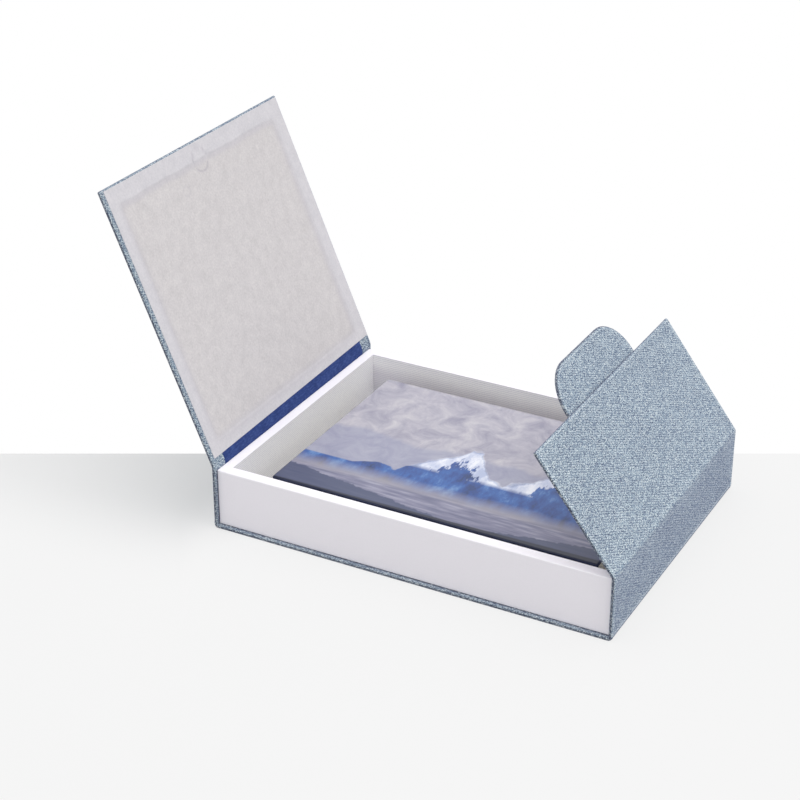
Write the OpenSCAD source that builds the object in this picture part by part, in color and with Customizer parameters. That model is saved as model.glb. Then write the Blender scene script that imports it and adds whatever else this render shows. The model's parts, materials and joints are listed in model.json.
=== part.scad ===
// Photo storage box: a cloth-covered case with a lid and a flap, round a tray that holds an album.
// X runs along the box from the lid's spine to the flap's spine, Y from front to rear, Z up.
// The origin is the centre of the case's underside. All sizes are in millimetres.

/* [Tray] */
// Outside length of the tray, along X
tray_l = 349; // [260:1:420]
// Outside width of the tray, along Y
tray_w = 256.4; // [180:0.2:320]
// Height of the tray, from the case up to its rim
tray_h = 50.6; // [30:0.2:90]
// Thickness of each wall board
wall_t = 9; // [5:0.5:12]
// Thickness of the floor board
floor_t = 3; // [2:0.5:6]
// Radius of the tray's outer edges
tray_edge_r = 1; // [0.7:0.1:2]
// Width of the covering paper that is turned under the tray
turn_under = 15; // [8:1:30]

/* [Case] */
// Thickness of the case's boards
board_t = 2; // [1.6:0.1:4]
// How far the case stands out past the tray, at front and rear
case_overhang = 3.8; // [2:0.1:8]
// Radius of the cloth-covered edges
edge_r = 1.2; // [0.8:0.1:1.3]
// Radius of the case's corners, seen from above
corner_r = 1.5; // [1.3:0.1:4]
// Inner radius of the folds between the base and the spines
fold_inner_r = 0.4; // [0.2:0.1:0.6]
// Space between a fold and the boards beside it
fold_clear = 0.6; // [0.2:0.1:2]

/* [Cloth and paper] */
// Thickness of the cover cloth and of the inner hinge strips
cloth_t = 0.4; // [0.3:0.05:0.6]
// Thickness of the tray's covering and lining papers
paper_t = 0.25; // [0.15:0.05:0.4]
// Thickness of the linings of lid, flap and tab
lining_t = 0.3; // [0.2:0.05:0.5]
// Width of the cloth turned in along the front and rear edges
hem_side = 16; // [10:1:25]
// Width of the cloth turned in along the free edges of lid and flap
hem_free = 15; // [10:1:25]
// How far the hinge strips reach down between tray and spine
strip_depth = 40; // [10:1:44]
// Distance from the hinge axis to the hinge strips' edge on lid and flap
strip_reach = 15.5; // [12:0.5:25]
// Gap between a hinge strip and the lining over it
strip_fit = 0.03; // [0.02:0.01:0.1]

/* [Lid] */
// Length of the lid, from its hinge axis to its free edge
lid_l = 241.4; // [180:0.2:260]
// Angle that the lid stands open, from closed
lid_open = 113.3; // [95:0.1:170]
// Stretch of bare cloth between the lid's hinge axis and its board
lid_gap = 3; // [2:0.1:5]
// Bare cloth between the lid's front edge and its lining
lining_front = 4.5; // [2:0.5:8]
// Bare cloth between the lid's rear edge and its lining
lining_rear = 1.5; // [1:0.5:8]
// Bare cloth between a free edge and its lining
lining_free = 1.5; // [1:0.5:8]
// Distance from the hinge axis to the lid lining's front corner
lining_start_front = 5.5; // [4:0.5:11]
// Distance from the hinge axis to the lid lining's rear corner
lining_start_rear = 8.5; // [4:0.5:11]

/* [Flap and tab] */
// Gap between the free edges of lid and flap when both are closed
close_gap = 0.6; // [0.4:0.1:3]
// Angle that the flap stands open, from closed
flap_open = 52.7; // [40:0.1:170]
// Stretch of bare cloth between the flap's hinge axis and its board
flap_gap = 1.5; // [1.2:0.1:4]
// Bare cloth between the flap's edges and its lining
flap_lining_margin = 3; // [1:0.5:8]
// Distance from the hinge axis to the flap's lining
flap_lining_start = 7; // [4:0.5:11]
// Height of the closed flap above the rim
flap_rest = 0.2; // [0.1:0.05:0.6]
// Height of the closed lid above the tab
tab_clear = 0.2; // [0.1:0.05:0.6]
// Width of the tab
tab_w = 130; // [90:1:180]
// How far the tab reaches past the flap's free edge
tab_reach = 35; // [28:1:50]
// How far the tab is glued under the flap
tab_lap = 40; // [20:1:60]
// Radius of the tab's outer corners
tab_corner_r = 33; // [15:1:40]
// Thickness of the tab's board
tab_board_t = 1.6; // [1.4:0.1:3]
// Width of the cloth turned in round the tab
tab_hem = 10; // [6:1:14]
// Bare cloth between the tab's edge and its lining
tab_lining_margin = 2.5; // [1:0.5:5]

/* [Magnets] */
// Diameter of the two magnets
magnet_d = 20; // [12:1:24]
// Thickness of the lid's magnet
lid_magnet_t = 1.5; // [0.8:0.1:1.5]
// Thickness of the tab's magnet
tab_magnet_t = 1.2; // [0.8:0.1:1.3]
// Distance from the flap's free edge to the magnets' centre
magnet_out = 17.5; // [15:0.5:20]
// Gap round each magnet in its board
magnet_fit = 0.1; // [0.05:0.05:0.3]

/* [Album] */
// Length of the album, along X
album_l = 290; // [200:1:300]
// Width of the album, along Y
album_w = 200; // [140:1:210]
// Thickness of the album with its cover print
album_t = 36.8; // [15:0.2:37]
// How far the album lies off the tray's middle, along X
album_shift = 5.5; // [0:0.5:10]
// Thickness of the album's covers and spine
album_cover_t = 2.5; // [1.5:0.1:4]
// How far the covers stand out past the pages
album_square = 3; // [1:0.5:6]
// Thickness of the picture on the front cover
print_t = 0.3; // [0.2:0.05:1]
// Edge of the front cover left bare round the picture
print_margin = 0.6; // [0.3:0.1:5]

/* [Hidden] */
// Stack of cover cloth, board and turned-in cloth
leaf_t = board_t + 2 * cloth_t;
// The same stack with its lining
lined_t = leaf_t + lining_t;
// Levels inside a leaf, measured in from its outer face
board_in = cloth_t + board_t;
case_w = tray_w + 2 * case_overhang;
spine_x = tray_l / 2 + leaf_t;
fold_r = leaf_t + fold_inner_r;
rim_z = leaf_t + tray_h;
wall_all = wall_t + 2 * paper_t;
hem_y = case_w / 2 - hem_side;
board_edge_r = edge_r - cloth_t;
// The hinge axes lie in the middle of the cover cloth
axis_in = cloth_t / 2;
hinge_x = spine_x - axis_in;
lid_rest = flap_rest + tab_clear;
lid_hinge_z = rim_z + lid_rest + lined_t - axis_in;
flap_hinge_z = rim_z + flap_rest + lined_t - axis_in;
flap_l = 2 * hinge_x - lid_l - close_gap;
// Levels inside the tab, measured in from the flap's outer face
tab_board_in = lined_t + cloth_t;
tab_hem_in = tab_board_in + tab_board_t;
tab_full = tab_hem_in + cloth_t + lining_t;
flap_magnet_x = flap_l + magnet_out;
lid_magnet_x = 2 * hinge_x - flap_magnet_x;
// Inside of the tray
floor_z = leaf_t + paper_t + floor_t;
album_z = floor_z + paper_t;
album_top = album_z + album_t;
pages_t = album_t - print_t - 2 * album_cover_t;
// Overlap that lets one cut run past another
cut = 1;
$fn = 48;

// Rectangle from one corner to the other, with round corners
module round_rect(low, high, r) {
    translate([low[0] + r, low[1]]) square([high[0] - low[0] - 2 * r, high[1] - low[1]]);
    translate([low[0], low[1] + r]) square([high[0] - low[0], high[1] - low[1] - 2 * r]);
    for (x = [low[0] + r, high[0] - r], y = [low[1] + r, high[1] - r]) translate([x, y]) circle(r);
}

// Block from one corner to the other
module block(low, high) {
    translate(low) cube(high - low);
}

// Plan outline raised between two levels, measured in from a leaf's outer face
module slab(near, far) {
    translate([0, 0, axis_in - far]) linear_extrude(far - near) children();
}

// Section of the cloth round a board: first axis in from the outer face, second axis along Y
module cloth_section() {
    difference() {
        round_rect([0, -case_w / 2], [leaf_t, case_w / 2], edge_r);
        board_section();
        translate([board_in - cut, -hem_y]) square([leaf_t, 2 * hem_y]);
    }
}

module board_section() {
    round_rect([cloth_t, cloth_t - case_w / 2], [board_in, case_w / 2 - cloth_t], board_edge_r);
}

// Section laid flat under the tray and drawn out along X
module along_base(length) {
    rotate([0, -90, 0]) linear_extrude(length, center = true) children();
}

// Section stood up at the flap's spine and drawn out along Z
module up_spine(z0, z1) {
    translate([spine_x, 0, z0]) linear_extrude(z1 - z0) mirror([1, 0]) children();
}

// Section bent through a quarter turn from the base to the flap's spine
module round_fold() {
    translate([spine_x - fold_r, 0, fold_r])
        rotate([90, 0, 0])
        rotate([0, 0, -90])
        rotate_extrude(angle = 90)
        translate([fold_r, 0])
        mirror([1, 0])
        children();
}

module spine_cloth() {
    up_spine(fold_r, rim_z) cloth_section();
    round_fold() cloth_section();
}

module spine_board() {
    up_spine(fold_r + fold_clear, rim_z) board_section();
}

// Leaf frames: X runs from the hinge axis to the free edge, and the leaf's inside faces down when closed
module on_lid() {
    translate([-hinge_x, 0, lid_hinge_z]) rotate([0, -lid_open, 0]) children();
}

module on_flap() {
    translate([hinge_x, 0, flap_hinge_z]) rotate([0, flap_open, 0]) mirror([1, 0, 0]) children();
}

// Round magnet, or the recess that holds it, between two levels of a leaf
module magnet_disc(x, near, far, gap) {
    slab(near, far) translate([x, 0]) circle(magnet_d / 2 + gap);
}

// Block with its two side edges, its free edge and its outer corners rounded
module leaf_block(x0, x1, width, near, far, r, plan_r) {
    run = x1 - x0;
    intersection() {
        translate([x0, 0, axis_in - far])
            rotate([90, 0, 90])
            linear_extrude(run)
            round_rect([-width / 2, 0], [width / 2, far - near], r);
        translate([0, width / 2, axis_in - far])
            rotate([90, 0, 0])
            linear_extrude(width)
            round_rect([x0 - run, 0], [x1, far - near], r);
        slab(near, far) round_rect([x0 - run, -width / 2], [x1, width / 2], plan_r);
    }
}

module leaf_board(length, gap) {
    leaf_block(
        gap, length - cloth_t, case_w - 2 * cloth_t, cloth_t, board_in, board_edge_r, corner_r - cloth_t
    );
}

// Part of a leaf's inside that the turned-in cloth leaves free
module leaf_window(length, inset) {
    low = [strip_reach + inset, inset - hem_y];
    translate(low) square([length - hem_free - inset - low[0], 2 * (hem_y - inset)]);
}

module leaf_cloth(length, gap) {
    difference() {
        leaf_block(gap, length, case_w, 0, leaf_t, edge_r, corner_r);
        leaf_block(
            gap - cut, length - cloth_t, case_w - 2 * cloth_t, cloth_t, board_in, board_edge_r,
            corner_r - cloth_t
        );
        slab(board_in - cut, leaf_t + cut)
            translate([gap - cut, -hem_y])
            square([length - hem_free - gap + cut, 2 * hem_y]);
    }
}

// Lining that lies over the turned-in cloth at its edges and drops onto the board inside them.
// Children: the lining's outline, the window between the hems, and that window less the lining's thickness
module stepped_lining(level, outer_x) {
    difference() {
        slab(level, level + cloth_t + lining_t) children(0);
        slab(level - cut, level + cloth_t) difference() {
            square(2 * outer_x, center = true);
            children(1);
        }
        slab(level + lining_t, level + cloth_t + lining_t + cut) children(2);
    }
}

// Flat outline in X and Z, seen from the front, drawn out along Y from y0 to y1
module across(y0, y1) {
    translate([0, y1, 0]) rotate([90, 0, 0]) linear_extrude(y1 - y0) children();
}

// Layer of a hinge between two depths, from below the axis on the spine to a reach on the leaf.
// X is towards the tray, Y is up, and the hinge axis is the origin
module bent_layer(near, far, below, reach, open) {
    lean = [cos(open), sin(open)];
    inward = [sin(open), -cos(open)];
    mitre = ([1, 0] + inward) / (1 + inward[0]);
    a = near - axis_in;
    b = far - axis_in;
    polygon([
        [a, -below], [b, -below], b * mitre, lean * reach + inward * b, lean * reach + inward * a, a * mitre
    ]);
}

// Outermost layer, round where it turns about the hinge axis
module bent_cloth(below, reach, open) {
    translate([-axis_in, -below]) square([cloth_t, below]);
    rotate(open) translate([0, -axis_in]) square([reach, cloth_t]);
    circle(axis_in);
}

// Hinge parts are drawn at the lid's side, about the hinge axis
module hinge_cloth(gap, open, axis_z) {
    below = axis_z - rim_z;
    across(-case_w / 2, case_w / 2) bent_cloth(below, gap, open);
    for (side = [0, 1]) mirror([0, side, 0]) {
        across(case_w / 2 - cloth_t, case_w / 2) bent_layer(0, leaf_t, below, gap, open);
        across(hem_y, case_w / 2) bent_layer(board_in, leaf_t, below, gap, open);
    }
}

module hinge_strip(open, axis_z) {
    across(-hem_y, hem_y) bent_layer(
        board_in, leaf_t - strip_fit, axis_z - rim_z + strip_depth, strip_reach - strip_fit, open
    );
}

// Plan of the tab, drawn in by an inset
module tab_outline(inset) {
    r = tab_corner_r - inset;
    half = tab_w / 2 - inset;
    x0 = flap_l - tab_lap + inset;
    x1 = flap_l + tab_reach - inset;
    translate([x0, -half]) square([x1 - r - x0, 2 * half]);
    translate([x0, r - half]) square([x1 - x0, 2 * (half - r)]);
    for (y = [r - half, half - r]) translate([x1 - r, y]) circle(r);
}

// Whole tray less a skin of paper, with round outer edges
module tray_body(skin) {
    low = [skin - tray_l / 2, skin - tray_w / 2, leaf_t + skin];
    high = [tray_l / 2 - skin, tray_w / 2 - skin, rim_z - skin];
    r = tray_edge_r - skin;
    intersection() {
        translate([0, 0, low[2]])
            linear_extrude(high[2] - low[2])
            round_rect([low[0], low[1]], [high[0], high[1]], r);
        across(low[1], high[1]) round_rect([low[0], low[2]], [high[0], high[2]], r);
        translate([low[0], 0, 0])
            rotate([90, 0, 90])
            linear_extrude(high[0] - low[0])
            round_rect([low[1], low[2]], [high[1], high[2]], r);
    }
}

// Space inside the walls, less an inset, from z0 to z1
module tray_inside(inset, z0, z1) {
    half = [tray_l / 2 - wall_all + inset, tray_w / 2 - wall_all + inset];
    block([-half[0], -half[1], z0], [half[0], half[1], z1]);
}

module long_wall(side) {
    mid = tray_w / 2 - paper_t - wall_t;
    intersection() {
        tray_body(paper_t);
        mirror([0, side, 0]) block([-tray_l, mid, 0], [tray_l, tray_w, 2 * rim_z]);
    }
}

module short_wall(side) {
    mid = [tray_l / 2 - paper_t - wall_t, tray_w / 2 - paper_t - wall_t];
    intersection() {
        tray_body(paper_t);
        mirror([side, 0, 0]) block([mid[0], -mid[1], 0], [tray_l, mid[1], 2 * rim_z]);
    }
}

module album_block(low, high) {
    translate([album_shift, 0, album_z]) block(low, high);
}

module base_cloth() {
    color("slategray") along_base(2 * (spine_x - fold_r)) cloth_section();
}

module base_board() {
    color("darkgray") along_base(2 * (spine_x - fold_r - fold_clear)) board_section();
}

module lid_spine_cloth() {
    color("slategray") mirror([1, 0, 0]) spine_cloth();
}

module lid_spine_board() {
    color("darkgray") mirror([1, 0, 0]) spine_board();
}

module flap_spine_cloth() {
    color("slategray") spine_cloth();
}

module flap_spine_board() {
    color("darkgray") spine_board();
}

module lid_hinge_cloth() {
    color("lightslategray")
        translate([-hinge_x, 0, lid_hinge_z])
        hinge_cloth(lid_gap, lid_open, lid_hinge_z);
}

module lid_hinge_strip() {
    color("royalblue") translate([-hinge_x, 0, lid_hinge_z]) hinge_strip(lid_open, lid_hinge_z);
}

module flap_hinge_cloth() {
    color("lightslategray")
        translate([hinge_x, 0, flap_hinge_z])
        mirror([1, 0, 0])
        hinge_cloth(flap_gap, flap_open, flap_hinge_z);
}

module flap_hinge_strip() {
    color("royalblue")
        translate([hinge_x, 0, flap_hinge_z])
        mirror([1, 0, 0])
        hinge_strip(flap_open, flap_hinge_z);
}

module tray_floor_board() {
    color("tan") tray_inside(paper_t, leaf_t + paper_t, floor_z);
}

module tray_front_wall() {
    color("tan") long_wall(1);
}

module tray_rear_wall() {
    color("tan") long_wall(0);
}

module tray_left_wall() {
    color("tan") short_wall(1);
}

module tray_right_wall() {
    color("tan") short_wall(0);
}

module tray_wrap() {
    window = [tray_l / 2 - turn_under, tray_w / 2 - turn_under];
    color("whitesmoke") difference() {
        tray_body(0);
        tray_body(paper_t);
        tray_inside(0, rim_z - tray_h / 2, rim_z + cut);
        block([-window[0], -window[1], leaf_t - cut], [window[0], window[1], floor_z]);
    }
}

module tray_wall_lining() {
    color("lightgray") difference() {
        tray_inside(paper_t, floor_z, rim_z - paper_t);
        tray_inside(0, floor_z - cut, rim_z);
    }
}

module tray_floor_lining() {
    color("lightgray") tray_inside(0, floor_z, album_z);
}

module lid_cloth() {
    color("slategray") on_lid() leaf_cloth(lid_l, lid_gap);
}

module lid_board() {
    color("darkgray") on_lid() difference() {
        leaf_board(lid_l, lid_gap);
        magnet_disc(lid_magnet_x, board_in - lid_magnet_t, board_in + cut, magnet_fit);
    }
}

module lid_lining() {
    front = case_w / 2 - lining_front;
    rear = case_w / 2 - lining_rear;
    free = lid_l - lining_free;
    color("lavender") on_lid() stepped_lining(board_in, 2 * lid_l) {
        polygon([[lining_start_front, -front], [free, -front], [free, rear], [lining_start_rear, rear]]);
        leaf_window(lid_l, 0);
        leaf_window(lid_l, lining_t);
    }
}

module lid_magnet() {
    color("silver") on_lid() magnet_disc(lid_magnet_x, board_in - lid_magnet_t, board_in, 0);
}

module flap_cloth() {
    color("slategray") on_flap() leaf_cloth(flap_l, flap_gap);
}

module flap_board() {
    color("darkgray") on_flap() leaf_board(flap_l, flap_gap);
}

module flap_lining() {
    side = case_w / 2 - flap_lining_margin;
    run = flap_l - lining_free - flap_lining_start;
    color("lavender") on_flap() stepped_lining(board_in, 2 * case_w) {
        translate([flap_lining_start, -side]) square([run, 2 * side]);
        leaf_window(flap_l, 0);
        leaf_window(flap_l, lining_t);
    }
}

module tab_cloth() {
    color("slategray") on_flap() difference() {
        slab(lined_t, tab_hem_in + cloth_t) tab_outline(0);
        slab(tab_board_in, tab_hem_in) tab_outline(cloth_t);
        slab(tab_hem_in - cut / 2, tab_full) tab_outline(tab_hem);
    }
}

module tab_board() {
    color("darkgray") on_flap() difference() {
        slab(tab_board_in, tab_hem_in) tab_outline(cloth_t);
        magnet_disc(flap_magnet_x, tab_board_in - cut, tab_board_in + tab_magnet_t, magnet_fit);
    }
}

module tab_lining() {
    color("lavender") on_flap() stepped_lining(tab_hem_in, 2 * case_w) {
        tab_outline(tab_lining_margin);
        tab_outline(tab_hem);
        tab_outline(tab_hem + lining_t);
    }
}

module tab_magnet() {
    color("silver") on_flap() magnet_disc(flap_magnet_x, tab_board_in, tab_board_in + tab_magnet_t, 0);
}

module album_back_cover() {
    color("midnightblue") album_block(
        [-album_l / 2, album_cover_t - album_w / 2, 0],
        [album_l / 2, album_w / 2, album_cover_t]
    );
}

module album_front_cover() {
    top = album_t - print_t;
    color("midnightblue") album_block(
        [-album_l / 2, album_cover_t - album_w / 2, top - album_cover_t],
        [album_l / 2, album_w / 2, top]
    );
}

module album_spine() {
    color("midnightblue") album_block(
        [-album_l / 2, -album_w / 2, 0],
        [album_l / 2, album_cover_t - album_w / 2, album_t - print_t]
    );
}

module album_pages() {
    end = album_l / 2 - album_square;
    color("ivory") album_block(
        [-end, album_cover_t - album_w / 2, album_cover_t],
        [end, album_w / 2 - album_square, album_cover_t + pages_t]
    );
}

module album_print() {
    half = [album_l / 2 - print_margin, album_w / 2 - print_margin];
    color("lightsteelblue") album_block(
        [-half[0], -half[1], album_t - print_t],
        [half[0], half[1], album_t]
    );
}

base_cloth();
base_board();
lid_spine_cloth();
lid_spine_board();
flap_spine_cloth();
flap_spine_board();
lid_hinge_cloth();
lid_hinge_strip();
flap_hinge_cloth();
flap_hinge_strip();
tray_floor_board();
tray_front_wall();
tray_rear_wall();
tray_left_wall();
tray_right_wall();
tray_wrap();
tray_wall_lining();
tray_floor_lining();
lid_cloth();
lid_board();
lid_lining();
lid_magnet();
flap_cloth();
flap_board();
flap_lining();
tab_cloth();
tab_board();
tab_lining();
tab_magnet();
album_back_cover();
album_front_cover();
album_spine();
album_pages();
album_print();
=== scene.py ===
import json
import math

import bmesh
import bpy
import numpy as np
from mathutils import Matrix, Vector


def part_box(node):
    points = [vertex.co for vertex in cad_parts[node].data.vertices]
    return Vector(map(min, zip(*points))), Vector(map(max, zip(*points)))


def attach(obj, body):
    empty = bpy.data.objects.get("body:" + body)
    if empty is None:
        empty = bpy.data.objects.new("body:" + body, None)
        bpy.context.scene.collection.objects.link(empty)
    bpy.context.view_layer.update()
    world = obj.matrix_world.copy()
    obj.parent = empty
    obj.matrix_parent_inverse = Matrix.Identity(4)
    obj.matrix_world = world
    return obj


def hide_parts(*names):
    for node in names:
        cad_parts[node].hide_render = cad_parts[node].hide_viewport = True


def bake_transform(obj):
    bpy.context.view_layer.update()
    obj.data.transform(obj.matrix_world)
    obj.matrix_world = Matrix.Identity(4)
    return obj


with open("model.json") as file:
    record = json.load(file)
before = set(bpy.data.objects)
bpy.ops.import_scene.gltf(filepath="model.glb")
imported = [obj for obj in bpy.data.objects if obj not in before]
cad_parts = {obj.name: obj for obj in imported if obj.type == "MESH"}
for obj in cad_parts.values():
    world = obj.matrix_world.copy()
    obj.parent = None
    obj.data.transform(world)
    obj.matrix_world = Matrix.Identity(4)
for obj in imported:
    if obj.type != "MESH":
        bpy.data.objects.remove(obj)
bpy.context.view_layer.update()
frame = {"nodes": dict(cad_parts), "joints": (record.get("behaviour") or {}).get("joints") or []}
MM = 0.001


# Boards
# Solid grey bookbinding board, pressed from paper pulp and cut to size: 2 mm in the case, 9 mm in the
# tray's walls. Cloth or paper covers all of it, and the two magnets are let into it.

MATH, MIX, BUMP, RAMP = "ShaderNodeMath", "ShaderNodeMix", "ShaderNodeBump", "ShaderNodeValToRGB"
NOISE, COORDINATES = "ShaderNodeTexNoise", "ShaderNodeTexCoord"


def linear(code):
    """Linear colour of an sRGB hex code."""
    parts = [int(code[i:i + 2], 16) / 255 for i in (1, 3, 5)]
    return tuple(c / 12.92 if c <= 0.04045 else ((c + 0.055) / 1.055) ** 2.4 for c in parts) + (1.0,)


def feed(tree, node, inputs):
    """Sets or links a node's inputs, by name or in order. A node as a value stands for its first output."""
    if isinstance(inputs, dict):
        pairs = [(node.inputs[key], value) for key, value in inputs.items()]
    else:
        pairs = zip([socket for socket in node.inputs if socket.enabled], inputs)
    for socket, value in pairs:
        if isinstance(value, bpy.types.Node):
            value = next(output for output in value.outputs if output.enabled)
        if isinstance(value, bpy.types.NodeSocket):
            tree.links.new(value, socket)
        else:
            socket.default_value = value


def add(tree, kind, inputs=(), stops=(), **settings):
    """Adds a node with its settings and inputs, and a ramp's (place, hex colour) stops."""
    made = tree.nodes.new(kind)
    for key, value in settings.items():
        setattr(made, key, value)
    for _ in stops[2:]:
        made.color_ramp.elements.new(0.5)
    for i, (place, code) in enumerate(stops):
        made.color_ramp.elements[i].position = place
        made.color_ramp.elements[i].color = linear(code)
    feed(tree, made, inputs)
    return made


def start_finish(name, roughness, specular=0.5):
    """A new material, its tree and its shader."""
    material = bpy.data.materials.new(name)
    material.use_nodes = True
    shader = material.node_tree.nodes["Principled BSDF"]
    feed(material.node_tree, shader, {"Roughness": roughness, "Specular IOR Level": specular})
    return material, material.node_tree, shader


def scale_for(size_mm):
    """Scale of a texture whose cells or blotches are about this wide."""
    return 1 / (size_mm * MM)


def pressed_board(name, dark, light):
    """Board pressed from recycled pulp: dull and faintly flecked with fibres."""
    material, tree, shader = start_finish(name, 0.95, 0.2)
    place = add(tree, COORDINATES).outputs["Object"]
    fleck = add(tree, NOISE, {"Vector": place, "Scale": scale_for(1.5), "Detail": 3.0})
    colour = add(tree, RAMP, (fleck,), [(0.3, dark), (0.7, light)])
    bump = add(tree, BUMP, {"Height": fleck, "Distance": 0.1 * MM, "Strength": 0.4})
    feed(tree, shader, {"Base Color": colour, "Normal": bump})
    return material


def paint(piece, material):
    """Gives a piece or a CAD node its only material."""
    piece.data.materials.clear()
    piece.data.materials.append(material)


greyboard = pressed_board("pressed_greyboard", "#7E7A73", "#9A958C")
wallboard = pressed_board("laminated_wallboard", "#A08D72", "#B9A588")
for node in ("base_board", "lid_spine_board", "flap_spine_board", "lid_board", "flap_board", "tab_board",
             "tray_floor_board"):
    paint(frame["nodes"][node], greyboard)
for node in ("tray_front_wall", "tray_rear_wall", "tray_left_wall", "tray_right_wall"):
    paint(frame["nodes"][node], wallboard)

# Nickel plate on the magnet discs: bright and slightly cloudy.
nickel, tree, shader = start_finish("nickel_plate", 0.3)
place = add(tree, COORDINATES).outputs["Object"]
cloud = add(tree, NOISE, {"Vector": place, "Scale": scale_for(3.0)})
plate = add(tree, RAMP, (cloud,), [(0.3, "#B9B6AE"), (0.7, "#CBC8C0")])
feed(tree, shader, {"Metallic": 1.0, "Base Color": plate})
for node in ("lid_magnet", "tab_magnet"):
    paint(frame["nodes"][node], nickel)


# Tray
# A deep box of thick board, covered in off-white linen-embossed paper that is drawn over the rim and
# turned under. A light grey paper of the same embossing lines the walls and the floor.

XYZ, VECTOR = "ShaderNodeSeparateXYZ", "ShaderNodeVectorMath"


def wave(tree, distance, length):
    """Even waves along a distance, from -1 to 1."""
    turned = add(tree, MATH, (distance, 2 * math.pi / length), operation="MULTIPLY")
    return add(tree, MATH, (turned,), operation="SINE")


def weighted(tree, *terms, plus=0.0):
    """Sum of values, each times its weight."""
    total = plus
    for value, weight in terms:
        total = add(tree, MATH, (value, weight, total), operation="MULTIPLY_ADD")
    return total


def linen_paper(name, dark, light, thread_mm, strength, flat=False, shade_by_height=None):
    """Linen-embossed paper for walls, or for a flat floor: matt, with a fine relief of crossed threads.
    The threads are drawn wider than the 0.4 mm of real embossing, so that they show. The long walls can
    get painted shade, darker towards the floor, from colours at heights in mm multiplied onto them."""
    thread = thread_mm * MM
    material, tree, shader = start_finish(name, 0.7, 0.3)
    coordinates = add(tree, COORDINATES).outputs
    place = coordinates["Object"]
    wander = add(tree, NOISE, {"Vector": place, "Scale": 90.0})
    shaken = add(tree, VECTOR, (wander.outputs["Color"], (thread,) * 3), operation="MULTIPLY")
    parts = add(tree, XYZ, (add(tree, VECTOR, (place, shaken), operation="ADD"),)).outputs
    level = parts[0] if flat else add(tree, MATH, (parts[0], parts[1]), operation="ADD")
    rows, wefts = wave(tree, parts[1 if flat else 2], thread), wave(tree, level, thread / 0.7)
    threads = weighted(tree, (wefts, 0.03), (rows, 0.4), plus=0.5)
    fibre = add(tree, NOISE, {"Vector": place, "Scale": scale_for(1.2), "Detail": 3.0})
    weave = weighted(tree, (threads, 0.5), (fibre, 0.5))
    colour = add(tree, RAMP, (weave,), [(0.25, dark), (0.7, light)])
    # Painted shade: the long walls are darkened towards the floor by a colour ramp on height.
    if shade_by_height:
        height = add(tree, MATH, (parts[2], 100 * MM), operation="DIVIDE")
        painted_shade = add(tree, RAMP, (height,), [(z / 100, code) for z, code in shade_by_height])
        across_box = add(tree, XYZ, (coordinates["Normal"],)).outputs[1]
        long_wall = add(tree, MATH, (across_box,), operation="ABSOLUTE", use_clamp=True)
        colour = add(tree, MIX, (long_wall, colour, painted_shade), data_type="RGBA", blend_type="MULTIPLY")
    bump = add(tree, BUMP, {"Height": weave, "Distance": 0.12 * MM, "Strength": strength})
    feed(tree, shader, {"Base Color": colour, "Normal": bump})
    return material


# The tray's paper is almost white, with a breath of lilac; the lining is greyer, with painted shade that
# darkens its long walls towards the floor.
tray_paper = linen_paper("off_white_linen_paper", "#F3F0F6", "#F9F6FC", 0.9, 0.25)
wall_lining = linen_paper(
    "pale_grey_linen_paper", "#E6E5EC", "#FFFFFF", 1.8, 0.7,
    shade_by_height=[(20, "#DEDCE2"), (36, "#E4E2E8"), (47, "#FFFFFF")],
)
floor_lining = linen_paper("pale_grey_linen_paper_floor", "#D6D5D7", "#F8F7F7", 1.8, 0.5, flat=True)
paint(frame["nodes"]["tray_wrap"], tray_paper)
paint(frame["nodes"]["tray_wall_lining"], wall_lining)
paint(frame["nodes"]["tray_floor_lining"], floor_lining)


# Cover cloth
# Blue-grey bookcloth, woven of light and dark yarns and glued round the boards in one continuous piece:
# lid, lid spine, base, flap spine and flap. Each edge is turned in, and the pressed edges show as a welt.

CLOTH = 0.4 * MM
LEAF = 2.8 * MM
EDGE_R = 1.2 * MM
HEM_SIDE = 16 * MM
HEM_FREE = 15 * MM
WELT_IN = 2.7 * MM
WELT_FREE = 1.9 * MM
WELT_HIGH = 0.2 * MM
WELT_WIDE = 0.5 * MM
CREASE_WIDE = 0.8 * MM
SIDE_FROM = 0.2 * MM
# Mark values, in order: painted highlight on a welt, turned-in cloth, the case's ledge, and painted shade.
WELT, TURNED_IN, LEDGE, PAINTED_SHADE = 1.0, -0.1, -0.35, -1.6
EDGE_LINES = [x * MM for x in (0, 0.5, 0.88, 1.2, 1.6, 2.0, 2.3, 2.6, 2.9, 3.2, 3.5, 3.9, 4.5, 6, 9, 12)]
COARSE = 6 * MM
HALF_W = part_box("base_cloth")[1].y
RIM_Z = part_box("tray_wrap")[1].z
SPINE_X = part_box("flap_spine_cloth")[1].x
FOLD_R = SPINE_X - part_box("base_cloth")[1].x


def spread(low, high, step):
    """Even steps between two values, without the ends."""
    count = max(1, round((high - low) / step))
    return [low + (high - low) * i / count for i in range(1, count)]


def section(width, thick, hem):
    """Lines across a cloth that wraps a board: (across, depth, part) from hem to hem."""
    half = width / 2
    face = [half - e for e in EDGE_LINES if e < hem - MM] + [half - hem]
    centre = spread(hem - half, half - hem, COARSE)
    side = [e for e in EDGE_LINES if e <= EDGE_R]
    depths = (side + [thick - e for e in reversed(side)])[1:-1]
    front = [(-y, -thick, "hem") for y in reversed(face)] + [(-half, -d, "side") for d in reversed(depths)]
    top = [(y, 0.0, "face") for y in [-y for y in face] + centre + face[::-1]]
    rear = [(half, -d, "side") for d in depths] + [(y, -thick, "hem") for y in face]
    return front + top + rear


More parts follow.
